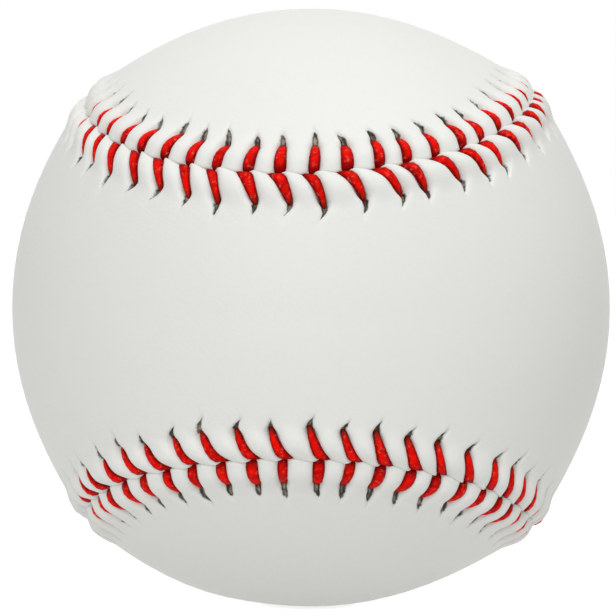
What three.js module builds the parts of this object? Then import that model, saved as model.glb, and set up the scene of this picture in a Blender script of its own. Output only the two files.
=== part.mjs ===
// A stitched baseball, in millimetres, with +Z up and the front at -Y.
// Two equal figure-of-eight cover panels close round a yarn-wound sponge core.
// One red thread laces them edge to edge through a row of holes in each panel.
import * as THREE from 'three';

// Driving sizes of the ball
const circumference = 229; // round the smooth cover, away from the seam
const coverThickness = 1.5;
const windingThickness = 3;
const clearance = 0.3; // between pieces that lie against each other

// Driving sizes of the raised seam
const seamGap = 0.8; // between the two panel edges
const seamRise = 1.7; // how far the cover stands up at the seam
const riseLength = 6.5; // distance from the seam over which the rise falls to a third
const crestOffset = 1.2; // from the seam line to the crest of the rolled edge
const edgeDrop = 0.5; // from the crest down to the edge

// Driving sizes of the lacing
const stitchCount = 108; // V-shaped double stitches in one trip round the seam
const threadWidth = 0.9;
const threadHeight = 0.7;
const threadHeightInGap = 0.5;
const holeOffset = 4.6; // from the seam line to the middle of a needle hole
const holeLength = 1.5; // square to the seam
const holeWidth = 1.6; // along the seam
const legSpacing = 2.2; // along the seam, between the two legs of a V
const frontSlant = 2.8; // how far a front leg's hole lies ahead of its seam end
const backSlant = 0.2; // the same for a back leg, which lies nearly square

// Shape of the seam line, in degrees: swings of its latitude and of its longitude
const latitudeSwingDegrees = 65.9;
const latitudeRippleDegrees = -1.1;
const longitudeSwingDegrees = 21;
const longitudeRippleDegrees = 0.63;

// Steps of the smooth surfaces
const footOffset = 9; // from the seam line to where the stitched border ends
const footSteps = 56; // round a panel there, a multiple of four
const rungSteps = 10; // across a panel inside its border
const roundSteps = 24; // round the core and the winding
const arcSteps = 12; // from pole to pole of the core and the winding

// Sizes that follow
const coverRadius = circumference / (2 * Math.PI);
const windingRadius = coverRadius - coverThickness - clearance;
const coreRadius = windingRadius - windingThickness - clearance;

// The seam line: twice round the ball, swinging between the front and the back
class SeamCurve extends THREE.Curve {
  constructor() {
    super();
    this.arcLengthDivisions = 4000;
  }

  getPoint(u, target = new THREE.Vector3()) {
    const turn = 4 * Math.PI * u;
    const { degToRad } = THREE.MathUtils;
    const latitude =
      degToRad(latitudeSwingDegrees) * Math.cos(turn) + degToRad(latitudeRippleDegrees) * Math.cos(3 * turn);
    const longitude =
      turn / 2 +
      degToRad(longitudeSwingDegrees) * Math.sin(2 * turn) +
      degToRad(longitudeRippleDegrees) * Math.sin(4 * turn);
    target.x = coverRadius * Math.cos(latitude) * Math.sin(longitude);
    target.y = -coverRadius * Math.sin(latitude);
    target.z = coverRadius * Math.cos(latitude) * Math.cos(longitude);
    return target;
  }
}

const seam = new SeamCurve();
const seamLength = seam.getLength();
const pitch = seamLength / stitchCount;
const seamSamples = seam.getSpacedPoints(4 * stitchCount).map((point) => point.normalize());

// Unit directions at s millimetres along the seam: out of the ball, along the seam,
// and across it toward the front panel
function seamFrame(s) {
  const u = THREE.MathUtils.euclideanModulo(s / seamLength, 1);
  const out = seam.getPointAt(u).normalize();
  const along = seam.getTangentAt(u).projectOnPlane(out).normalize();
  const across = along.clone().cross(out);
  return { out, along, across };
}

// The point at s along the seam, at a signed distance across it (front panel positive)
function seamPoint(s, distance, radius) {
  const { out, across } = seamFrame(s);
  const angle = distance / coverRadius;
  return out.multiplyScalar(Math.cos(angle)).addScaledVector(across, Math.sin(angle)).multiplyScalar(radius);
}

// Radius of the cover's outer face at a distance from the seam
function outerRadius(distance) {
  return coverRadius + seamRise * Math.exp(-distance / riseLength);
}

function innerRadius(distance) {
  return outerRadius(distance) - coverThickness;
}

function distanceToSeam(direction) {
  const nearest = Math.max(...seamSamples.map((sample) => sample.dot(direction)));
  return coverRadius * Math.acos(Math.min(1, nearest));
}

// The middle of a stitch along the seam
function stitchMiddle(station) {
  return (station + 0.5) * pitch;
}

// Where one leg of a stitch lies: the two legs meet the seam a leg spacing apart
function stitchPlace(station, front) {
  const middle = stitchMiddle(station);
  if (front) {
    const seamEnd = middle - legSpacing / 2;
    return { seamEnd, hole: seamEnd + frontSlant };
  }
  const seamEnd = middle + legSpacing / 2;
  return { seamEnd, hole: seamEnd + backSlant };
}

// One cover panel: outer face, inner face, rolled edge and 108 needle holes
function panelGeometry(front) {
  const side = front ? 1 : -1;
  const positions = [];
  const triangles = [];

  function addVertex(point) {
    positions.push(point.x, point.y, point.z);
    return positions.length / 3 - 1;
  }

  // Triangles are listed for the back panel's outer face, and turned round where they face away
  function addTriangle(a, b, c, outside) {
    if (a === b || b === c || c === a) return;
    if (outside === front) triangles.push(a, c, b);
    else triangles.push(a, b, c);
  }

  // A loop of vertices round the panel at one distance from the seam
  function addLoop(places, distance, radius) {
    return places.map((s) => ({ s, vertex: addVertex(seamPoint(s, side * distance, radius)) }));
  }

  // Joins two loops whose vertices lie at different places
  function joinLoops(near, far, outside) {
    const ahead = (loop, step) => loop[step % loop.length].s + (step < loop.length ? 0 : seamLength);
    let i = 0;
    let j = 0;
    while (i < near.length || j < far.length) {
      const a = near[i % near.length].vertex;
      const b = far[j % far.length].vertex;
      const nearIsNext = j === far.length || (i < near.length && ahead(near, i + 1) <= ahead(far, j + 1));
      if (nearIsNext) {
        i += 1;
        addTriangle(a, near[i % near.length].vertex, b, outside);
      } else {
        j += 1;
        addTriangle(a, far[j % far.length].vertex, b, outside);
      }
    }
  }

  // Closes the inside of the foot loop with rungs between its two mirrored halves
  function addRungs(foot, radiusAt, outside) {
    const tip = front ? footSteps / 4 : 0;
    const at = (step) => foot[(step + footSteps) % footSteps].vertex;
    const rungs = [];
    for (let row = 0; row <= footSteps / 2; row += 1) {
      const start = at(tip + row);
      const end = at(tip - row);
      const from = new THREE.Vector3().fromArray(positions, 3 * start).normalize();
      const to = new THREE.Vector3().fromArray(positions, 3 * end).normalize();
      const turn = new THREE.Quaternion().setFromUnitVectors(from, to);
      const rung = [start];
      for (let step = 1; step < rungSteps; step += 1) {
        if (start === end) {
          rung.push(start);
          continue;
        }
        const part = new THREE.Quaternion().slerp(turn, step / rungSteps);
        const direction = from.clone().applyQuaternion(part);
        rung.push(addVertex(direction.clone().multiplyScalar(radiusAt(distanceToSeam(direction)))));
      }
      rung.push(end);
      rungs.push(rung);
    }
    for (let row = 0; row < rungs.length - 1; row += 1) {
      for (let step = 0; step < rungSteps; step += 1) {
        const [a, d] = rungs[row].slice(step, step + 2);
        const [b, c] = rungs[row + 1].slice(step, step + 2);
        addTriangle(a, b, c, outside);
        addTriangle(a, c, d, outside);
      }
    }
  }

  // Places of the loops' vertices along the seam
  const edgePlaces = [];
  const holePlaces = [];
  const footPlaces = [];
  for (let station = 0; station < stitchCount; station += 1) {
    const { hole } = stitchPlace(station, front);
    edgePlaces.push(stitchMiddle(station));
    holePlaces.push(hole - holeWidth / 2, hole + holeWidth / 2);
  }
  for (let step = 0; step < footSteps; step += 1) {
    footPlaces.push((step * seamLength) / footSteps);
  }

  const edge = seamGap / 2;
  const holeStart = holeOffset - holeLength / 2;
  const holeEnd = holeOffset + holeLength / 2;

  // Outer face, from the edge inward
  const edgeRadius = outerRadius(crestOffset) - edgeDrop;
  const outer = {
    edge: addLoop(edgePlaces, edge, edgeRadius),
    crest: addLoop(edgePlaces, crestOffset, outerRadius(crestOffset)),
    holeStart: addLoop(holePlaces, holeStart, outerRadius(holeStart)),
    holeEnd: addLoop(holePlaces, holeEnd, outerRadius(holeEnd)),
    foot: addLoop(footPlaces, footOffset, outerRadius(footOffset)),
  };
  joinLoops(outer.edge, outer.crest, true);
  joinLoops(outer.crest, outer.holeStart, true);
  joinLoops(outer.holeEnd, outer.foot, true);
  addRungs(outer.foot, outerRadius, true);

  // Inner face, which the cover's thickness lies over
  const inner = {
    edge: addLoop(edgePlaces, edge, innerRadius(crestOffset)),
    holeStart: addLoop(holePlaces, holeStart, innerRadius(holeStart)),
    holeEnd: addLoop(holePlaces, holeEnd, innerRadius(holeEnd)),
    foot: addLoop(footPlaces, footOffset, innerRadius(footOffset)),
  };
  joinLoops(inner.edge, inner.holeStart, false);
  joinLoops(inner.holeEnd, inner.foot, false);
  addRungs(inner.foot, innerRadius, false);

  // The cut edge that faces the other panel
  joinLoops(inner.edge, outer.edge, true);

  // Webs between the needle holes, and the holes' four walls
  for (let station = 0; station < stitchCount; station += 1) {
    const first = 2 * station;
    const last = first + 1;
    const next = (last + 1) % holePlaces.length;
    for (const [face, outside] of [[outer, true], [inner, false]]) {
      const a = face.holeStart[last].vertex;
      const b = face.holeStart[next].vertex;
      const c = face.holeEnd[next].vertex;
      const d = face.holeEnd[last].vertex;
      addTriangle(a, b, c, outside);
      addTriangle(a, c, d, outside);
    }
    const ring = (face) => [
      face.holeStart[first].vertex,
      face.holeStart[last].vertex,
      face.holeEnd[last].vertex,
      face.holeEnd[first].vertex,
    ];
    const top = ring(outer);
    const bottom = ring(inner);
    top.forEach((vertex, corner) => {
      const after = (corner + 1) % top.length;
      addTriangle(vertex, top[after], bottom[after], true);
      addTriangle(vertex, bottom[after], bottom[corner], true);
    });
  }

  const geometry = new THREE.BufferGeometry();
  geometry.setAttribute('position', new THREE.Float32BufferAttribute(positions, 3));
  geometry.setIndex(triangles);
  geometry.computeVertexNormals();
  return geometry;
}

// The thread's way round the ball. It takes two laps, and changes sides at every stitch:
// up through a hole, over that panel, down the gap, and under the other panel.
function threadRoute() {
  const underRadius = windingRadius + clearance + threadHeight / 2;
  const overRadius = outerRadius(holeOffset) + clearance + threadHeight / 2;
  const gapRadius = outerRadius(crestOffset) + 2 * clearance + threadHeightInGap / 2;
  const route = [];
  for (let lap = 0; lap < 2; lap += 1) {
    for (let station = 0; station < stitchCount; station += 1) {
      const front = (station + lap) % 2 === 0;
      const { seamEnd, hole } = stitchPlace(station, front);
      const row = front ? holeOffset : -holeOffset;
      route.push(
        { s: hole, point: seamPoint(hole, row, underRadius), inGap: false },
        { s: hole, point: seamPoint(hole, row, overRadius), inGap: false },
        { s: seamEnd, point: seamPoint(seamEnd, 0, gapRadius), inGap: true },
        { s: seamEnd, point: seamPoint(seamEnd, 0, underRadius), inGap: true },
      );
    }
  }
  return route;
}

// A closed tube of four sides along the route, with a mitred ring at each of its corners.
// At a corner the route turns between straight up or down and a level stretch. The ring lies
// flat on the level stretch, and in the gap it is turned halfway toward the seam, so that no
// stretch twists enough for its walls to meet.
function threadGeometry(route) {
  const positions = [];
  const triangles = [];
  const corners = 4;
  route.forEach(({ s, point, inGap }, step) => {
    const before = route[(step + route.length - 1) % route.length].point;
    const after = route[(step + 1) % route.length].point;
    const incoming = point.clone().sub(before).normalize();
    const outgoing = after.clone().sub(point).normalize();
    const ahead = incoming.clone().add(outgoing).normalize();
    const out = point.clone().normalize();
    const { along } = seamFrame(s);
    const wide = ahead.clone().cross(out).normalize();
    if (wide.dot(along) < 0) wide.negate();
    if (inGap) wide.add(along.projectOnPlane(out).normalize()).normalize();
    const high = out.clone().cross(wide).multiplyScalar(Math.sign(out.dot(ahead)));
    const height = inGap ? threadHeightInGap : threadHeight;
    for (let corner = 0; corner < corners; corner += 1) {
      const angle = (corner / corners) * 2 * Math.PI;
      const offset = wide.clone().multiplyScalar((Math.cos(angle) * threadWidth) / 2);
      offset.addScaledVector(high, (Math.sin(angle) * height) / 2);
      const toMitre = -offset.dot(ahead) / out.dot(ahead);
      const place = point.clone().add(offset).addScaledVector(out, toMitre);
      positions.push(place.x, place.y, place.z);
    }
    const next = (step + 1) % route.length;
    for (let corner = 0; corner < corners; corner += 1) {
      const a = step * corners + corner;
      const b = step * corners + ((corner + 1) % corners);
      const c = next * corners + ((corner + 1) % corners);
      const d = next * corners + corner;
      triangles.push(a, b, c, a, c, d);
    }
  });
  const geometry = new THREE.BufferGeometry();
  geometry.setAttribute('position', new THREE.Float32BufferAttribute(positions, 3));
  geometry.setIndex(triangles);
  geometry.computeVertexNormals();
  return geometry;
}

// Least distance between the surfaces of stretches of thread that don't meet
function leastThreadGap(route) {
  const samples = [];
  const perStretch = 4;
  route.forEach(({ point }, step) => {
    const after = route[(step + 1) % route.length].point;
    for (let part = 0; part < perStretch; part += 1) {
      samples.push({ step, point: point.clone().lerp(after, part / perStretch) });
    }
  });
  let least = Infinity;
  for (const a of samples) {
    for (const b of samples) {
      const apart = Math.abs(a.step - b.step);
      if (Math.min(apart, route.length - apart) < 3) continue;
      least = Math.min(least, a.point.distanceTo(b.point));
    }
  }
  return least - threadWidth;
}

// The winding: a shell round the core, with an eye at the top where the yarn's inner end goes in
function windingGeometry() {
  const innerFace = windingRadius - windingThickness;
  const profile = [];
  for (let step = 0; step < arcSteps; step += 1) {
    const angle = (Math.PI * step) / arcSteps;
    profile.push(new THREE.Vector2(windingRadius * Math.sin(angle), -windingRadius * Math.cos(angle)));
  }
  const eyeRadius = threadWidth;
  profile.push(new THREE.Vector2(eyeRadius, windingRadius));
  profile.push(new THREE.Vector2(eyeRadius, innerFace));
  for (let step = arcSteps - 1; step >= 0; step -= 1) {
    const angle = (Math.PI * step) / arcSteps;
    profile.push(new THREE.Vector2(innerFace * Math.sin(angle), -innerFace * Math.cos(angle)));
  }
  profile[0].x = 0;
  profile.at(-1).x = 0;
  return new THREE.LatheGeometry(profile, roundSteps);
}

// Finishes of the pieces
const coverMaterial = new THREE.MeshStandardMaterial({ color: 0xf0f0ec, roughness: 0.55, metalness: 0 });
const threadMaterial = new THREE.MeshStandardMaterial({ color: 0xd81c0c, roughness: 0.8, metalness: 0 });
const yarnMaterial = new THREE.MeshStandardMaterial({ color: 0xc9c3b4, roughness: 0.95, metalness: 0 });
const spongeMaterial = new THREE.MeshStandardMaterial({ color: 0x8a7f70, roughness: 0.9, metalness: 0 });

const baseball = new THREE.Group();

function addPiece(name, geometry, material) {
  const mesh = new THREE.Mesh(geometry, material);
  mesh.name = name;
  baseball.add(mesh);
  return mesh;
}

const coreGeometry = new THREE.SphereGeometry(coreRadius, roundSteps, arcSteps);
const core = addPiece('sponge_core', coreGeometry, spongeMaterial);
const winding = addPiece('yarn_winding', windingGeometry(), yarnMaterial);

// Turned shapes stand up along Y, and the ball's upright is Z
core.rotation.x = Math.PI / 2;
winding.rotation.x = Math.PI / 2;

addPiece('front_cover_panel', panelGeometry(true), coverMaterial);
addPiece('back_cover_panel', panelGeometry(false), coverMaterial);

const route = threadRoute();
addPiece('stitching_thread', threadGeometry(route), threadMaterial);
console.log('thread: least gap to itself', leastThreadGap(route).toFixed(2), 'mm');

export default baseball;
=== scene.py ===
"""A stitched baseball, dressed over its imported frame.

Two cover panels of fine-grained white synthetic leather meet along one closed seam line.
Red thread laces them in V stitches, and every leg of a V sinks into its needle slit.
Lengths are in millimetres until a mesh is finished.
"""

import math

import bmesh
import bpy
import numpy as np
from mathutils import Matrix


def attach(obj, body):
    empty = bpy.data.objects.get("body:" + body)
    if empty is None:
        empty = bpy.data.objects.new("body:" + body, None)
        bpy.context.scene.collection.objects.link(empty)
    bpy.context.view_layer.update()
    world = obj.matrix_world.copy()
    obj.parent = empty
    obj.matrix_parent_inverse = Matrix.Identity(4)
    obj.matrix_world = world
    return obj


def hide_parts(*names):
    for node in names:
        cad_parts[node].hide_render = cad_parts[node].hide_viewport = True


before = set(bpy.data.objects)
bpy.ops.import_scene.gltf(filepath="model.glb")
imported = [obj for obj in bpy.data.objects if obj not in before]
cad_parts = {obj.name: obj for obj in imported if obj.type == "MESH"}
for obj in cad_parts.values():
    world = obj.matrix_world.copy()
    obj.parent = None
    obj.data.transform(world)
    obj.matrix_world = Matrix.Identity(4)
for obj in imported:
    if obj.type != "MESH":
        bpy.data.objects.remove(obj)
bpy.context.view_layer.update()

MM = 0.001

# The ball and its seam line
CIRCUMFERENCE = 229.0
COVER_RADIUS = CIRCUMFERENCE / (2 * math.pi)
LATITUDE_SWING = math.radians(65.9)
LATITUDE_RIPPLE = math.radians(-1.1)
LONGITUDE_SWING = math.radians(21)
LONGITUDE_RIPPLE = math.radians(0.63)
STITCH_COUNT = 108

# The raised cover beside the seam, and the share by which it has settled on the left
SEAM_RISE = 2.0
RISE_LENGTH = 6.5
LEFT_SETTLE = 0.28
LEFT_STARTS = 0.3
LEFT_FULL = 0.8

# A soft swelling on the lower left, where the seam stands up less
SWELLING_PLACE = (-0.53, -0.02, -0.848)
SWELLING_REACH = 0.06
SWELLING_HEIGHT = 0.48
SWELLING_SETTLE = 0.22

# Places on the left where the thread is pulled deep: direction from the centre, and depth
DEEP_PLACES = (((-0.755, -0.2, -0.62), 0.75), ((-0.74, -0.26, 0.62), 0.42))
DEEP_REACH = 0.022

# The valley along the seam and the rolled edges in it
VALLEY_DEPTH = 0.75
VALLEY_WIDTH = 1.0
ROLL_WIDTH = 0.5
ROLL_DROP = 0.3
SEAM_ZIGZAG = 0.15
ZIGZAG_REACH = 2.2

# Pillows between the legs, and the grooves that the legs lie in
PILLOW_HEIGHT = 0.42
PILLOW_FADES_FROM = 2.1
GROOVE_DEPTH = 0.75
GROOVE_WIDTH = 0.72
CROSSING_REACH = 1.3
GROOVE_BEFORE_DIVE = 0.5
GROOVE_PAST_DIVE = 0.7

# Pits and dimples at the needle holes
PIT_DEPTH = 0.35
PIT_WIDTH = 0.5
PIT_STARTS = 1.5
PIT_FULL = 0.4
DIMPLE_DEPTH = 0.2
DIMPLE_WIDTH = 1.0

# Needle slits, and the creases that run on from them
SLIT_DEPTH = 0.55
SLIT_BEFORE_DIVE = 0.5
SLIT_BEVEL_OUT = 0.2
SLIT_BEVEL_IN = 0.3
CREASE_DEPTH = 0.02
CREASE_WIDTH = 0.5
CREASE_REACH = 0.9

# A panel's thickness, its stitched border, and where the border starts to even out
COVER_THICKNESS = 1.3
BORDER_WIDTH = 9.0
EVENING_STARTS = 5.2

# Columns of a panel's border, as shares of the way from one stitch leg to the next
COLUMN_SHARES = (0, 0.05, 0.1, 0.155, 0.22, 0.31, 0.41, 0.5, 0.59, 0.69, 0.78, 0.845, 0.9, 0.95)
COLUMNS = len(COLUMN_SHARES)

# Rows of a panel's border, as distances from its edge. The first is the foot of its wall.
ROWS = (0.0, 0.0, 0.05, 0.15, 0.3, 0.52, 0.8, 1.15, 1.55, 2.0, 2.4, 2.75, 3.05, 3.35, 3.65,
        3.95, 4.25, 4.6, 5.0, 5.45, 6.0, 6.8, 7.8, BORDER_WIDTH)
WALL_DEPTH = 1.2
RUNG_STEPS = 16
MERGE_DISTANCE = 0.002

# The thread: how much a leg bends, and where it turns to lie along the seam, in shares of its
# dive
RING_SIDES = 10
LEG_BEND = 0.45
TURN_FULL = 0.06
TURN_STARTS = 0.3

# The thread's UV length from leg to leg, and the share of it on the leg itself
THREAD_PER_LEG = 7.0
LEG_SHARE = 0.86

# The camera of the photograph, in ball radii and degrees
CAMERA_DISTANCE = 10.5
CAMERA_AZIMUTH = 3.62
CAMERA_ELEVATION = 1.72
FRAME_PIXELS = 616
BALL_PIXELS = 298.7
BALL_CENTRE_PIXEL = (311.0, 307.5)
SENSOR_WIDTH = 36

random = np.random.default_rng(11)


# The seam line

def seam_direction(turn):
    """The direction of the seam line from the centre, for a turn from 0 to 4 pi."""
    latitude = LATITUDE_SWING * np.cos(turn) + LATITUDE_RIPPLE * np.cos(3 * turn)
    longitude = turn / 2 + LONGITUDE_SWING * np.sin(2 * turn) + LONGITUDE_RIPPLE * np.sin(4 * turn)
    return np.stack(
        [
            np.cos(latitude) * np.sin(longitude),
            -np.sin(latitude),
            np.cos(latitude) * np.cos(longitude),
        ],
        axis=-1,
    )


def unit(vectors):
    return vectors / np.linalg.norm(vectors, axis=-1, keepdims=True)


SEAM_SAMPLES = 24001
SEAM_TURNS = np.linspace(0, 4 * math.pi, SEAM_SAMPLES)
SEAM_DIRECTIONS = seam_direction(SEAM_TURNS)
SEAM_STEPS = np.linalg.norm(np.diff(SEAM_DIRECTIONS, axis=0), axis=1) * COVER_RADIUS
SEAM_ARC = np.concatenate([[0], np.cumsum(SEAM_STEPS)])
SEAM_LENGTH = SEAM_ARC[-1]
PITCH = SEAM_LENGTH / STITCH_COUNT
TANGENT_STEP = 1e-4


def seam_point(place, distance, radius):
    """The point at a place along the seam and a signed distance across it (front positive)."""
    turn = np.interp(np.mod(place, SEAM_LENGTH), SEAM_ARC, SEAM_TURNS)
    out = seam_direction(turn)
    along = unit(seam_direction(turn + TANGENT_STEP) - seam_direction(turn - TANGENT_STEP))
    across = np.cross(along, out)
    angle = np.asarray(distance)[..., None] / COVER_RADIUS
    direction = np.cos(angle) * out + np.sin(angle) * across
    return direction * np.asarray(radius)[..., None]


def smooth_step(low, high, value):
    """Zero up to low, one from high on, and a smooth way between them."""
    part = np.clip((value - low) / (high - low), 0, 1)
    return part * part * (3 - 2 * part)


def bell(value, width):
    """One at zero, and falling off to both sides."""
    return np.exp(-((value / width) ** 2))


def cover_rise(distance, direction):
    """How far the cover stands out from the smooth ball: its rise beside the seam, and the
    swelling on the lower left."""
    swelling = bell(1 - direction @ np.array(SWELLING_PLACE), SWELLING_REACH)
    leftness = smooth_step(LEFT_STARTS, LEFT_FULL, -direction[..., 0])
    settled = 1 - LEFT_SETTLE * leftness - SWELLING_SETTLE * swelling
    beside_seam = SEAM_RISE * settled * np.exp(-np.abs(distance) / RISE_LENGTH)
    return beside_seam + SWELLING_HEIGHT * swelling


def pulled_deep(direction):
    """How deep the thread is pulled, below where it lies elsewhere."""
    return sum(
        depth * bell(1 - direction @ np.array(place), DEEP_REACH) for place, depth in DEEP_PLACES
    )


# The stitches

def vary(spread):
    """One random value for each stitch."""
    return random.uniform(-spread, spread, STITCH_COUNT)


# The stitches run a little ahead on one side of the ball and a little behind on the other,
# in shares of a stitch
STATIONS = np.arange(STITCH_COUNT)
FIRST_STITCH = 0.315
STITCH_DRIFT = 0.225
DRIFT = FIRST_STITCH + STITCH_DRIFT * np.cos(2 * math.pi * STATIONS / STITCH_COUNT)
APEX = (STATIONS + DRIFT) * PITCH + vary(0.22)

# A leg starts in the seam, at seam_end. At a distance of dive it sinks into its slit, which
# runs on by slit and leans by lean, and slant is how far the leg has then gone along the seam.
# Its path runs from deep in the slit, up and over the cover, and down into the seam. A row of
# the path is distance from the seam line as a share of the dive, height over the smooth rise,
# half width, half height, and lead toward the last stitch.
LEGS = {
    "front": {
        "side": 1,
        "seam_end": APEX,
        "dive": 3.35 + vary(0.25),
        "slant": 1.75 + vary(0.35),
        "slit": 1.8 + vary(0.4),
        "lean": -0.65 + vary(0.45),
        "slit_width": 0.4,
        "slit_point": 1.8,
        "width": 1.06 + vary(0.17),
        "crossing": 0.0,
        "pillow_end": 4.4,
        "foot_column": 11,
        "path": (
            (1.24, -2.2, 0.12, 0.1, 0.0),
            (1.15, -1.3, 0.2, 0.15, 0.0),
            (1.05, -0.98, 0.28, 0.2, 0.0),
            (0.93, -0.64, 0.38, 0.28, 0.0),
            (0.77, -0.4, 0.5, 0.36, 0.0),
            (0.55, -0.24, 0.62, 0.42, 0.0),
            (0.36, -0.27, 0.69, 0.42, 0.0),
            (0.2, -0.58, 0.72, 0.4, 0.08),
            (0.09, -0.9, 0.78, 0.34, 0.32),
            (0.04, -1.3, 0.62, 0.24, 0.46),
            (0.025, -2.1, 0.4, 0.2, 0.46),
        ),
    },
    "back": {
        "side": -1,
        "seam_end": APEX + 0.5 + vary(0.1),
        "dive": 3.42 + vary(0.25),
        "slant": 0.25 + vary(0.25),
        "slit": 1.9 + vary(0.35),
        "lean": -0.4 + vary(0.45),
        "slit_width": 0.45,
        "slit_point": 4.0,
        "width": 1.07 + vary(0.18),
        "crossing": 0.2,
        "pillow_end": 4.8,
        "foot_column": 7,
        "path": (
            (1.16, -2.2, 0.34, 0.24, 0.0),
            (1.09, -1.3, 0.38, 0.27, 0.0),
            (1.0, -1.0, 0.42, 0.3, 0.0),
            (0.9, -0.78, 0.5, 0.35, 0.0),
            (0.74, -0.5, 0.6, 0.42, 0.0),
            (0.52, -0.3, 0.66, 0.44, 0.0),
            (0.34, -0.35, 0.66, 0.44, 0.0),
            (0.19, -0.66, 0.66, 0.4, 0.0),
            (0.09, -1.0, 0.64, 0.34, 0.0),
            (0.04, -1.35, 0.55, 0.24, 0.05),
            (0.02, -2.1, 0.4, 0.2, 0.1),
        ),
    },
}

# How deep each leg is pulled into its groove
for side_legs in LEGS.values():
    side_legs["sink"] = 0.05 + vary(0.17)


def leg_place(legs, station, distance):
    """Where a leg and its slit lie along the seam, at a distance from the seam line."""
    dive = legs["dive"][station]
    slit = legs["slit"][station]
    part = np.clip(distance / dive, 0, 1 + slit / dive)
    beyond = np.clip((distance - dive) / slit, 0, 1)
    bend = part * (1 + LEG_BEND - LEG_BEND * part)
    lean = legs["lean"][station] * beyond ** 2
    return legs["seam_end"][station] + legs["slant"][station] * bend + lean


# Mesh helpers

def shaped_grid(bm, across, along, points, values=None, uvs=None):
    """A grid whose vertex (i, j) goes to points[i, j], with a value and a UV for each."""
    layer = bm.verts.layers.float.get("slit") or bm.verts.layers.float.new("slit")
    uv_layer = bm.loops.layers.uv.get("UVMap") or bm.loops.layers.uv.new("UVMap")
    made = bmesh.ops.create_grid(bm, x_segments=across, y_segments=along, size=1)
    slots = {}
    for vert in made["verts"]:
        i = round((vert.co.x + 1) / 2 * across)
        j = round((vert.co.y + 1) / 2 * along)
        slots[vert] = (i, j)
    if uvs is not None:
        for face in {face for vert in slots for face in vert.link_faces}:
            for loop in face.loops:
                loop[uv_layer].uv = uvs[slots[loop.vert]]
    for vert, slot in slots.items():
        vert.co = points[slot]
        vert[layer] = -1 if values is None else values[slot]


def finished_mesh(bm, name):
    """Merges doubles, turns every face outward and makes the object, in metres."""
    bmesh.ops.remove_doubles(bm, verts=bm.verts, dist=MERGE_DISTANCE)
    bmesh.ops.recalc_face_normals(bm, faces=bm.faces)
    for face in bm.faces:
        face.smooth = True
    bmesh.ops.scale(bm, vec=(MM, MM, MM), verts=bm.verts)
    mesh = bpy.data.meshes.new(name)
    bm.to_mesh(mesh)
    bm.free()
    piece = bpy.data.objects.new(name, mesh)
    bpy.context.collection.objects.link(piece)
    return piece


# The cover panels

APEX_LOOP = np.concatenate([[APEX[-1] - SEAM_LENGTH], APEX, [APEX[0] + SEAM_LENGTH]])
STATION_LOOP = np.arange(-1, STITCH_COUNT + 1)


def seam_shift(place, distance):
    """How far the seam line swings to either side, pulled by the two legs of each V."""
    phase = 2 * math.pi * np.interp(np.mod(place, SEAM_LENGTH), APEX_LOOP, STATION_LOOP)
    return -SEAM_ZIGZAG * np.sin(phase) * np.exp(-distance / ZIGZAG_REACH)


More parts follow.
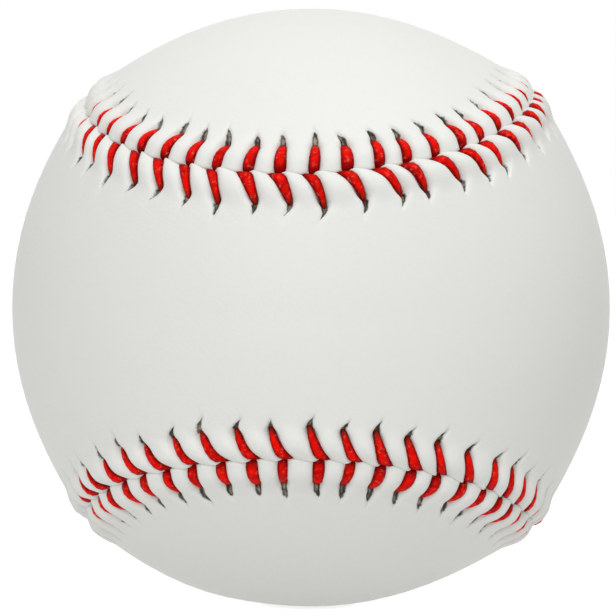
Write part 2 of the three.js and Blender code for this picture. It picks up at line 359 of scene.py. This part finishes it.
def panel_border(legs):
    """Points of a panel's stitched border by column and row, and how far each is in a slit."""
    side = legs["side"]
    total = STITCH_COUNT * COLUMNS
    column = np.arange(total + 1)
    station = ((column - legs["foot_column"]) // COLUMNS) % STITCH_COUNT
    share = np.array(COLUMN_SHARES)[(column - legs["foot_column"]) % COLUMNS]
    after = (station + 1) % STITCH_COUNT
    even_place = column * SEAM_LENGTH / total
    points = np.zeros((total + 1, len(ROWS), 3))
    slits = np.zeros((total + 1, len(ROWS)))
    for row, distance in enumerate(ROWS):
        here = leg_place(legs, station, distance)
        ahead = leg_place(legs, after, distance)
        ahead = ahead + np.where(ahead < here, SEAM_LENGTH, 0)
        place = here + (ahead - here) * share
        place = place + np.round((even_place - place) / SEAM_LENGTH) * SEAM_LENGTH
        to_even = smooth_step(EVENING_STARTS, BORDER_WIDTH, distance)
        place = place + (even_place - place) * to_even

        # How far a point is from the leg on either side of it
        gap = np.minimum(share, 1 - share) * (ahead - here)
        nearer = np.where(share < 0.5, station, after)
        dive = legs["dive"][nearer]
        slit_end = dive + legs["slit"][nearer]

        # Rolled edge
        inward = np.clip(1 - distance / ROLL_WIDTH, 0, 1)
        height = -VALLEY_DEPTH * bell(distance, VALLEY_WIDTH)
        height -= ROLL_DROP * (1 - math.sqrt(1 - inward * inward))
        if row == 0:
            height -= WALL_DEPTH

        # Pillows between the stitches
        pillow = PILLOW_HEIGHT * (1 - bell(gap, GROOVE_WIDTH))
        pillow = pillow * (1 - smooth_step(PILLOW_FADES_FROM, legs["pillow_end"], distance))

        # Grooves that hold the legs, deeper where the legs cross and at the needle holes
        groove = GROOVE_DEPTH + legs["crossing"] * bell(distance, CROSSING_REACH)
        groove = groove * bell(gap, GROOVE_WIDTH)
        at_hole = smooth_step(dive - PIT_STARTS, dive - PIT_FULL, distance)
        groove = groove + PIT_DEPTH * bell(gap, PIT_WIDTH) * at_hole
        past = smooth_step(dive - GROOVE_BEFORE_DIVE, dive + GROOVE_PAST_DIVE, distance)
        groove = groove * (1 - past)
        dimple = DIMPLE_DEPTH * bell(gap, DIMPLE_WIDTH) * bell(distance - dive, DIMPLE_WIDTH)
        height = height + pillow - groove - dimple

        # Needle slits: how far a point is inside one, and the creases that run on from them
        run = np.clip((distance - dive) / legs["slit"][nearer], 0, 2)
        slit_width = legs["slit_width"] * (1 - run ** legs["slit_point"])
        inside = slit_width - gap - 2 * np.maximum(dive - SLIT_BEFORE_DIVE - distance, 0)
        cut = smooth_step(-SLIT_BEVEL_OUT, SLIT_BEVEL_IN, inside)
        crease = CREASE_DEPTH * bell(gap, CREASE_WIDTH) * bell(distance - slit_end, CREASE_REACH)
        height = height - SLIT_DEPTH * cut - crease

        shift = seam_shift(place, distance) * (1 - to_even)
        direction = seam_point(place, side * distance + shift, 1.0)
        radius = COVER_RADIUS + cover_rise(distance, direction) + height
        points[:, row] = direction * radius[:, None]
        slits[:, row] = np.clip(inside, -1, 1)
    points[-1] = points[0]
    slits[-1] = slits[0]
    return points, slits


# Below this angle a rung is a point. Every so many places of the seam line are enough to find
# how far away it is.
SMALL_ANGLE = 1e-6
SAMPLE_SKIP = 20


def panel_middle(legs, foot):
    """Points of a panel's plain middle, in rungs between the mirrored halves of its foot row."""
    total = STITCH_COUNT * COLUMNS
    tip = total // 4 if legs["side"] == 1 else 0
    rung = np.arange(total // 2 + 1)
    start = unit(foot[(tip + rung) % total])
    end = unit(foot[(tip - rung) % total])
    spread = np.arccos(np.clip((start * end).sum(-1), -1, 1))[:, None, None]
    part = (np.arange(RUNG_STEPS + 1) / RUNG_STEPS)[None, :, None]
    apart = spread > SMALL_ANGLE
    safe = np.maximum(spread, SMALL_ANGLE)
    near = np.where(apart, np.sin((1 - part) * safe) / np.sin(safe), 1 - part)
    far = np.where(apart, np.sin(part * safe) / np.sin(safe), part)
    directions = unit(near * start[:, None] + far * end[:, None])
    samples = SEAM_DIRECTIONS[::SAMPLE_SKIP]
    closeness = (directions.reshape(-1, 3) @ samples.T).max(-1).reshape(directions.shape[:2])
    distance = COVER_RADIUS * np.arccos(np.clip(closeness, -1, 1))
    points = directions * (COVER_RADIUS + cover_rise(distance, directions))[..., None]
    points[:, 0] = foot[(tip + rung) % total]
    points[:, -1] = foot[(tip - rung) % total]
    return points


def make_panel(name, legs):
    bm = bmesh.new()
    edge_points, slits = panel_border(legs)
    shaped_grid(bm, edge_points.shape[0] - 1, len(ROWS) - 1, edge_points, slits)
    middle = panel_middle(legs, edge_points[:-1, -1])
    shaped_grid(bm, middle.shape[0] - 1, RUNG_STEPS, middle)
    panel = finished_mesh(bm, name)
    wall = panel.modifiers.new("wall", "SOLIDIFY")
    wall.thickness = COVER_THICKNESS * MM
    wall.offset = -1
    return panel


# The thread

# A short way along the seam, from which its direction is taken
SHORT_WAY = 0.05


def leg_rings(legs, station):
    """The thread's section rings over one leg."""
    path = np.array(legs["path"])
    distance = path[:, 0] * legs["dive"][station]
    place = leg_place(legs, station, distance) - path[:, 4]
    shift = seam_shift(place, np.abs(distance))
    direction = seam_point(place, legs["side"] * distance + shift, 1.0)
    depth = legs["sink"][station] + pulled_deep(direction)
    radius = COVER_RADIUS + cover_rise(distance, direction) + path[:, 1] - depth
    centre = direction * radius[:, None]
    ahead = unit(np.gradient(centre, axis=0))
    wide = np.zeros_like(centre)
    middle = len(path) // 2
    wide[middle] = unit(np.cross(ahead[middle], centre[middle]))
    for step in range(middle + 1, len(path)):
        wide[step] = wide[step - 1] - (wide[step - 1] @ ahead[step]) * ahead[step]
        wide[step] = unit(wide[step])
    for step in range(middle - 1, -1, -1):
        wide[step] = wide[step + 1] - (wide[step + 1] @ ahead[step]) * ahead[step]
        wide[step] = unit(wide[step])

    # Where the leg goes down between the panels, its rings turn to lie along the seam
    across = legs["side"] * distance
    ahead_point = seam_point(place + SHORT_WAY, across, radius)
    along = unit(ahead_point - seam_point(place - SHORT_WAY, across, radius))
    along = along * np.sign((along * wide).sum(-1))[:, None]
    turned = (1 - smooth_step(TURN_FULL, TURN_STARTS, path[:, 0]))[:, None]
    wide = unit(wide * (1 - turned) + along * turned)
    high = unit(np.cross(wide, ahead))
    angle = np.linspace(0, 2 * math.pi, RING_SIDES + 1)[None, :, None]
    half_width = (path[:, 2] * legs["width"][station])[:, None, None]
    half_height = path[:, 3][:, None, None]
    rings = centre[:, None] + half_width * np.cos(angle) * wide[:, None]
    rings = rings + half_height * np.sin(angle) * high[:, None]
    length = np.concatenate([[0], np.cumsum(np.linalg.norm(np.diff(centre, axis=0), axis=1))])
    return rings, length


def make_thread(name):
    """One thread that takes two laps and changes sides at every stitch."""
    rings = []
    lengths = []
    for lap in range(2):
        for station in reversed(range(STITCH_COUNT)):
            legs = LEGS["front" if (station + lap) % 2 == 0 else "back"]
            leg, length = leg_rings(legs, station)
            rings.append(leg)
            lengths.append((len(lengths) + LEG_SHARE * length / length[-1]) * THREAD_PER_LEG)
    rings = np.concatenate(rings + [rings[0][:1]])
    lengths = np.concatenate(lengths + [[len(lengths) * THREAD_PER_LEG]])
    around = np.linspace(0, 1, RING_SIDES + 1)
    uvs = np.zeros(rings.shape[:2] + (2,))
    uvs[..., 0] = lengths[:, None]
    uvs[..., 1] = around[None, :]
    bm = bmesh.new()
    shaped_grid(bm, rings.shape[0] - 1, RING_SIDES, rings, uvs=uvs)
    return finished_mesh(bm, name)


# Materials

BLACK = (0, 0, 0, 1)
WHITE = (1, 1, 1, 1)

# Leather: its two whites, the shade between pebbles, and the cut backing with painted shade that
# slits show
LEATHER_SHADE = (0.845, 0.852, 0.812, 1)
LEATHER_LIGHT = (0.87, 0.875, 0.838, 1)
LEATHER_LOWS = (0.7, 0.7, 0.66, 1)
BACKING_AND_SHADE_DARK = (0.035, 0.028, 0.02, 1)
BACKING_AND_SHADE_LIGHT = (0.4, 0.36, 0.29, 1)
PEBBLES_PER_METRE = 2600
GRAIN_DEPTH = 0.00006
TEAR = 0.36
FRAY = 1.5

# Thread: its dye in the twist, painted shade down the sides, at the hole and at the seam, and
# painted highlight specks
DYE_DARK = (0.54, 0.001, 0.0, 1)
DYE_LIGHT = (0.94, 0.004, 0.0, 1)
PAINTED_SIDE_SHADE = (0.24, 0.0, 0.0, 1)
SHADE_AT_HOLE = (0.09, 0.016, 0.008, 1)
SHADE_AT_SEAM = (0.16, 0.0, 0.0, 1)
PAINTED_HIGHLIGHT = (1.0, 0.18, 0.13, 1)
TWISTS_ALONG = 1.1
TWISTS_AROUND = 2.0
TWIST_SHADE = 0.07
TWIST_DEPTH = 0.00008
END_SHADE_STRENGTH = 0.8
HIGHLIGHT_STRENGTH = 0.5

# Yarn and sponge rubber
YARN_DARK = (0.42, 0.39, 0.33, 1)
YARN_LIGHT = (0.68, 0.65, 0.58, 1)
YARN_DEPTH = 0.0004
SPONGE_DARK = (0.1, 0.075, 0.05, 1)
SPONGE_LIGHT = (0.3, 0.25, 0.19, 1)
PORE_DEPTH = 0.0003


def new_material(name):
    material = bpy.data.materials.new(name)
    material.use_nodes = True
    nodes = material.node_tree.nodes
    nodes.clear()
    output = nodes.new("ShaderNodeOutputMaterial")
    shader = nodes.new("ShaderNodeBsdfPrincipled")
    material.node_tree.links.new(shader.outputs["BSDF"], output.inputs["Surface"])
    return material, nodes, material.node_tree.links, shader


def add_node(tree_nodes, kind, **inputs):
    node = tree_nodes.new(kind)
    for key, value in inputs.items():
        node.inputs[key].default_value = value
    return node


def math_node(nodes, links, operation, first, second=None, third=None):
    node = nodes.new("ShaderNodeMath")
    node.operation = operation
    for socket, value in zip(node.inputs, (first, second, third)):
        if value is None:
            continue
        if isinstance(value, (int, float)):
            socket.default_value = value
        else:
            links.new(value, socket)
    return node.outputs[0]


def ramp(nodes, links, value, first, last):
    """A colour ramp between two (position, colour) ends."""
    node = nodes.new("ShaderNodeValToRGB")
    for element, (position, colour) in zip(node.color_ramp.elements, (first, last)):
        element.position = position
        element.color = colour
    links.new(value, node.inputs["Fac"])
    return node.outputs["Color"]


def mix_colour(nodes, links, factor, first, second):
    node = nodes.new("ShaderNodeMix")
    node.data_type = "RGBA"
    sockets = (node.inputs[0], node.inputs[6], node.inputs[7])
    for socket, value in zip(sockets, (factor, first, second)):
        if isinstance(value, (int, float, tuple)):
            socket.default_value = value
        else:
            links.new(value, socket)
    return node.outputs[2]


def grain_group():
    """Fine pebbled grain: its height, and a mask of the lows between the pebbles."""
    group = bpy.data.node_groups.new("fine_grain", "ShaderNodeTree")
    outside = group.interface
    outside.new_socket("Vector", in_out="INPUT", socket_type="NodeSocketVector")
    size = outside.new_socket("Pebbles per metre", in_out="INPUT", socket_type="NodeSocketFloat")
    size.default_value = PEBBLES_PER_METRE
    outside.new_socket("Height", in_out="OUTPUT", socket_type="NodeSocketFloat")
    outside.new_socket("Lows", in_out="OUTPUT", socket_type="NodeSocketFloat")
    nodes = group.nodes
    links = group.links
    source = nodes.new("NodeGroupInput")
    result = nodes.new("NodeGroupOutput")
    pebbles = nodes.new("ShaderNodeTexVoronoi")
    pebbles.feature = "SMOOTH_F1"
    pebbles.inputs["Smoothness"].default_value = 0.6
    drift = add_node(nodes, "ShaderNodeTexNoise", Detail=3.0, Roughness=0.6)
    links.new(source.outputs["Vector"], pebbles.inputs["Vector"])
    links.new(source.outputs["Vector"], drift.inputs["Vector"])
    links.new(source.outputs["Pebbles per metre"], pebbles.inputs["Scale"])
    coarse = math_node(nodes, links, "MULTIPLY", source.outputs["Pebbles per metre"], 0.35)
    links.new(coarse, drift.inputs["Scale"])
    rounded = math_node(nodes, links, "SUBTRACT", 1.0, pebbles.outputs["Distance"])
    wander = math_node(nodes, links, "MULTIPLY", drift.outputs["Fac"], 0.8)
    height = math_node(nodes, links, "ADD", rounded, wander)
    links.new(height, result.inputs["Height"])
    lows = math_node(nodes, links, "MULTIPLY", pebbles.outputs["Distance"], drift.outputs["Fac"])
    links.new(lows, result.inputs["Lows"])
    return group


GRAIN = grain_group()


def add_grain(nodes, links, place):
    group = nodes.new("ShaderNodeGroup")
    group.node_tree = GRAIN
    group.inputs["Pebbles per metre"].default_value = PEBBLES_PER_METRE
    links.new(place, group.inputs["Vector"])
    return group


def add_noise(nodes, links, place, **inputs):
    """How strong a noise is at each place, from 0 to 1."""
    noise = add_node(nodes, "ShaderNodeTexNoise", **inputs)
    links.new(place, noise.inputs["Vector"])
    return noise.outputs["Fac"]


def add_bump(nodes, links, shader, height, depth, strength):
    node = nodes.new("ShaderNodeBump")
    node.inputs["Strength"].default_value = strength
    node.inputs["Distance"].default_value = depth
    links.new(height, node.inputs["Height"])
    links.new(node.outputs["Normal"], shader.inputs["Normal"])


def cover_leather():
    material, nodes, links, shader = new_material("white_cover_leather")
    place = nodes.new("ShaderNodeTexCoord").outputs["Object"]
    grain = add_grain(nodes, links, place)
    cloud = add_noise(nodes, links, place, Scale=45.0, Detail=4.0, Roughness=0.55)
    white = mix_colour(nodes, links, cloud, LEATHER_SHADE, LEATHER_LIGHT)
    lows = math_node(nodes, links, "MULTIPLY", grain.outputs["Lows"], 0.12)
    toned = mix_colour(nodes, links, lows, white, LEATHER_LOWS)

    # The slits have ragged edges, and the cut backing that shows in them carries painted shade,
    # darkest at the rim
    slit = nodes.new("ShaderNodeAttribute")
    slit.attribute_name = "slit"
    ragged = add_noise(nodes, links, place, Scale=1800.0, Detail=2.0)
    tear = math_node(nodes, links, "MULTIPLY_ADD", ragged, TEAR, -TEAR / 2)
    torn = math_node(nodes, links, "ADD", slit.outputs["Fac"], tear)
    torn_edge = ramp(nodes, links, torn, (0.0, BLACK), (0.12, WHITE))
    frayed = add_noise(nodes, links, place, Scale=1300.0, Detail=3.0)
    fray = math_node(nodes, links, "MULTIPLY_ADD", frayed, FRAY, -FRAY / 2)
    depth = math_node(nodes, links, "ADD", slit.outputs["Fac"], fray)
    backing_and_shade = ramp(nodes, links, depth, (0.15, BACKING_AND_SHADE_DARK), (0.6, BACKING_AND_SHADE_LIGHT))
    colour = mix_colour(nodes, links, torn_edge, toned, backing_and_shade)
    links.new(colour, shader.inputs["Base Color"])
    rough = math_node(nodes, links, "MULTIPLY", grain.outputs["Lows"], 0.25)
    rough = math_node(nodes, links, "ADD", rough, 0.46)
    links.new(rough, shader.inputs["Roughness"])
    shader.inputs["Specular IOR Level"].default_value = 0.4
    add_bump(nodes, links, shader, grain.outputs["Height"], GRAIN_DEPTH, 0.35)
    return material


def red_thread():
    material, nodes, links, shader = new_material("red_twisted_thread")
    uv = nodes.new("ShaderNodeUVMap")
    uv.uv_map = "UVMap"
    split = nodes.new("ShaderNodeSeparateXYZ")
    links.new(uv.outputs["UV"], split.inputs["Vector"])
    length = split.outputs["X"]
    around = split.outputs["Y"]
    run = math_node(nodes, links, "MULTIPLY", length, TWISTS_ALONG)
    helix = math_node(nodes, links, "MULTIPLY_ADD", around, TWISTS_AROUND, run)
    turn = math_node(nodes, links, "MULTIPLY", helix, 2 * math.pi)
    ply = math_node(nodes, links, "SINE", turn)
    place = nodes.new("ShaderNodeTexCoord").outputs["Object"]
    fibre = add_noise(nodes, links, place, Scale=2600.0, Detail=3.0, Roughness=0.65)
    blotch = add_noise(nodes, links, place, Scale=700.0, Detail=2.0)
    shade = math_node(nodes, links, "MULTIPLY_ADD", ply, TWIST_SHADE, blotch)
    red = ramp(nodes, links, shade, (0.28, DYE_DARK), (0.62, DYE_LIGHT))

    # Painted shade darkens the sides of each leg, where the thread is pressed into the cover, and
    # leaves its top bright
    angle = math_node(nodes, links, "MULTIPLY", around, 2 * math.pi)
    top = math_node(nodes, links, "SINE", angle)
    side_shade = ramp(nodes, links, top, (0.62, WHITE), (0.93, BLACK))
    red = mix_colour(nodes, links, side_shade, red, PAINTED_SIDE_SHADE)

    # Painted shade darkens each leg toward its needle hole and where it goes down between the
    # panels
    legs_run = math_node(nodes, links, "DIVIDE", length, THREAD_PER_LEG)
    leg_part = math_node(nodes, links, "FRACT", legs_run)
    at_hole = ramp(nodes, links, leg_part, (0.2, WHITE), (0.33, BLACK))
    at_hole = math_node(nodes, links, "MULTIPLY", at_hole, END_SHADE_STRENGTH)
    red = mix_colour(nodes, links, at_hole, red, SHADE_AT_HOLE)
    seam_shade = ramp(nodes, links, leg_part, (0.6, BLACK), (0.7, WHITE))
    seam_shade = math_node(nodes, links, "MULTIPLY", seam_shade, END_SHADE_STRENGTH)
    red = mix_colour(nodes, links, seam_shade, red, SHADE_AT_SEAM)

    # Small specks are painted light pink as painted highlights, where fuzz and wax would catch the
    # light
    highlight_specks = ramp(nodes, links, fibre, (0.57, BLACK), (0.7, WHITE))
    highlight_specks = math_node(nodes, links, "MULTIPLY", highlight_specks, HIGHLIGHT_STRENGTH)
    colour = mix_colour(nodes, links, highlight_specks, red, PAINTED_HIGHLIGHT)
    links.new(colour, shader.inputs["Base Color"])
    shader.inputs["Roughness"].default_value = 0.6
    shader.inputs["Specular IOR Level"].default_value = 0.06
    height = math_node(nodes, links, "MULTIPLY_ADD", ply, 0.6, fibre)
    add_bump(nodes, links, shader, height, TWIST_DEPTH, 0.4)
    return material


def wound_yarn():
    material, nodes, links, shader = new_material("grey_wound_yarn")
    place = nodes.new("ShaderNodeTexCoord").outputs["Object"]
    turns = add_node(nodes, "ShaderNodeTexWave", Scale=160.0, Distortion=3.0, Detail=2.0)
    links.new(place, turns.inputs["Vector"])
    colour = mix_colour(nodes, links, turns.outputs["Fac"], YARN_DARK, YARN_LIGHT)
    links.new(colour, shader.inputs["Base Color"])
    shader.inputs["Roughness"].default_value = 0.95
    add_bump(nodes, links, shader, turns.outputs["Fac"], YARN_DEPTH, 0.8)
    return material


def sponge_rubber():
    material, nodes, links, shader = new_material("brown_sponge_rubber")
    place = nodes.new("ShaderNodeTexCoord").outputs["Object"]
    pores = add_node(nodes, "ShaderNodeTexVoronoi", Scale=900.0)
    links.new(place, pores.inputs["Vector"])
    colour = mix_colour(nodes, links, pores.outputs["Distance"], SPONGE_DARK, SPONGE_LIGHT)
    links.new(colour, shader.inputs["Base Color"])
    shader.inputs["Roughness"].default_value = 0.9
    add_bump(nodes, links, shader, pores.outputs["Distance"], PORE_DEPTH, 0.8)
    return material


# The set: floor, background, lights and camera

FLOOR_REACH = 30
FLOOR_GREY = (0.42, 0.42, 0.42, 1)
FLOOR_GLOW = 0.84
TABLE_LIGHT_SIZE = 0.22
TABLE_LIGHT_SHIFT = -0.03
TABLE_LIGHT_OVER_FLOOR = 0.0001


def seen_directly(nodes, links):
    """One where the camera sees a thing itself, or in a gloss or through something clear."""
    rays = nodes.new("ShaderNodeLightPath").outputs
    direct = math_node(nodes, links, "MAXIMUM", rays["Is Camera Ray"], rays["Is Glossy Ray"])
    return math_node(nodes, links, "MAXIMUM", direct, rays["Is Transmission Ray"])


def make_floor(level):
    bm = bmesh.new()
    bmesh.ops.create_grid(bm, x_segments=2, y_segments=2, size=FLOOR_REACH)
    bmesh.ops.translate(bm, vec=(0, 0, level), verts=bm.verts)
    mesh = bpy.data.meshes.new("floor")
    bm.to_mesh(mesh)
    bm.free()
    floor = bpy.data.objects.new("floor", mesh)
    bpy.context.collection.objects.link(floor)
    material, nodes, links, shader = new_material("white_floor")
    shader.inputs["Base Color"].default_value = FLOOR_GREY
    shader.inputs["Roughness"].default_value = 0.9
    shader.inputs["Specular IOR Level"].default_value = 0.1
    glow = math_node(nodes, links, "MULTIPLY", seen_directly(nodes, links), FLOOR_GLOW)
    shader.inputs["Emission Color"].default_value = WHITE
    links.new(glow, shader.inputs["Emission Strength"])
    mesh.materials.append(material)


def make_world(strength):
    """A white background, which lights the ball with a strength of its own."""
    world = bpy.data.worlds.new("white_studio")
    bpy.context.scene.world = world
    world.use_nodes = True
    nodes = world.node_tree.nodes
    links = world.node_tree.links
    nodes.clear()
    output = nodes.new("ShaderNodeOutputWorld")
    background = nodes.new("ShaderNodeBackground")
    background.inputs["Color"].default_value = WHITE
    seen = seen_directly(nodes, links)
    unseen = math_node(nodes, links, "SUBTRACT", 1.0, seen)
    total = math_node(nodes, links, "MULTIPLY_ADD", unseen, strength, seen)
    links.new(total, background.inputs["Strength"])
    links.new(background.outputs["Background"], output.inputs["Surface"])


def make_square_light(name, size, watts):
    lamp = bpy.data.lights.new(name, "AREA")
    lamp.shape = "SQUARE"
    lamp.size = size
    lamp.energy = watts
    light = bpy.data.objects.new(name, lamp)
    bpy.context.collection.objects.link(light)
    return light


def make_softbox(name, azimuth, elevation, distance, size, watts):
    light = make_square_light(name, size, watts)
    aim_at_centre(light, azimuth, elevation, distance)


def make_table_light(floor_level, watts):
    """The glow of a light table under the ball, which keeps its underside from going dark."""
    light = make_square_light("table_light", TABLE_LIGHT_SIZE, watts)
    light.location = (TABLE_LIGHT_SHIFT, 0, floor_level + TABLE_LIGHT_OVER_FLOOR)
    light.rotation_euler = (math.pi, 0, 0)
    light.visible_camera = False
    light.visible_glossy = False


def aim_at_centre(thing, azimuth, elevation, distance):
    turn = math.radians(azimuth)
    lift = math.radians(elevation)
    back = (math.sin(turn) * math.cos(lift), -math.cos(turn) * math.cos(lift), math.sin(lift))
    thing.location = [distance * value for value in back]
    thing.rotation_euler = (math.pi / 2 - lift, 0, turn)


def make_camera():
    data = bpy.data.cameras.new("camera")
    camera = bpy.data.objects.new("camera", data)
    bpy.context.collection.objects.link(camera)
    aim_at_centre(camera, CAMERA_AZIMUTH, CAMERA_ELEVATION, CAMERA_DISTANCE * COVER_RADIUS * MM)
    focal_pixels = BALL_PIXELS * math.sqrt(CAMERA_DISTANCE ** 2 - 1)
    data.sensor_width = SENSOR_WIDTH
    data.lens = focal_pixels / FRAME_PIXELS * data.sensor_width
    data.shift_x = (FRAME_PIXELS / 2 - BALL_CENTRE_PIXEL[0]) / FRAME_PIXELS
    data.shift_y = (BALL_CENTRE_PIXEL[1] - FRAME_PIXELS / 2) / FRAME_PIXELS
    data.clip_start = 0.01
    data.clip_end = 100
    bpy.context.scene.camera = camera


def paint(piece, material):
    piece.data.materials.clear()
    piece.data.materials.append(material)


# Build it

leather = cover_leather()
for name, node in (("front", "front_cover_panel"), ("back", "back_cover_panel")):
    panel = make_panel(f"{name}_leather_panel", LEGS[name])
    paint(panel, leather)
    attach(panel, "root")
    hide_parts(node)

thread = make_thread("red_lacing_thread")
paint(thread, red_thread())
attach(thread, "root")
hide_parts("stitching_thread")

paint(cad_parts["yarn_winding"], wound_yarn())
paint(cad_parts["sponge_core"], sponge_rubber())

floor_level = -COVER_RADIUS * MM
make_floor(floor_level)
make_world(strength=0.51)
make_softbox("top_softbox", azimuth=42, elevation=64, distance=1.0, size=0.9, watts=3.4)
make_softbox("front_softbox", azimuth=-8, elevation=25, distance=1.2, size=0.8, watts=4.6)
make_table_light(floor_level, watts=0.0465)
make_camera()
bpy.context.scene.view_settings.view_transform = "Standard"
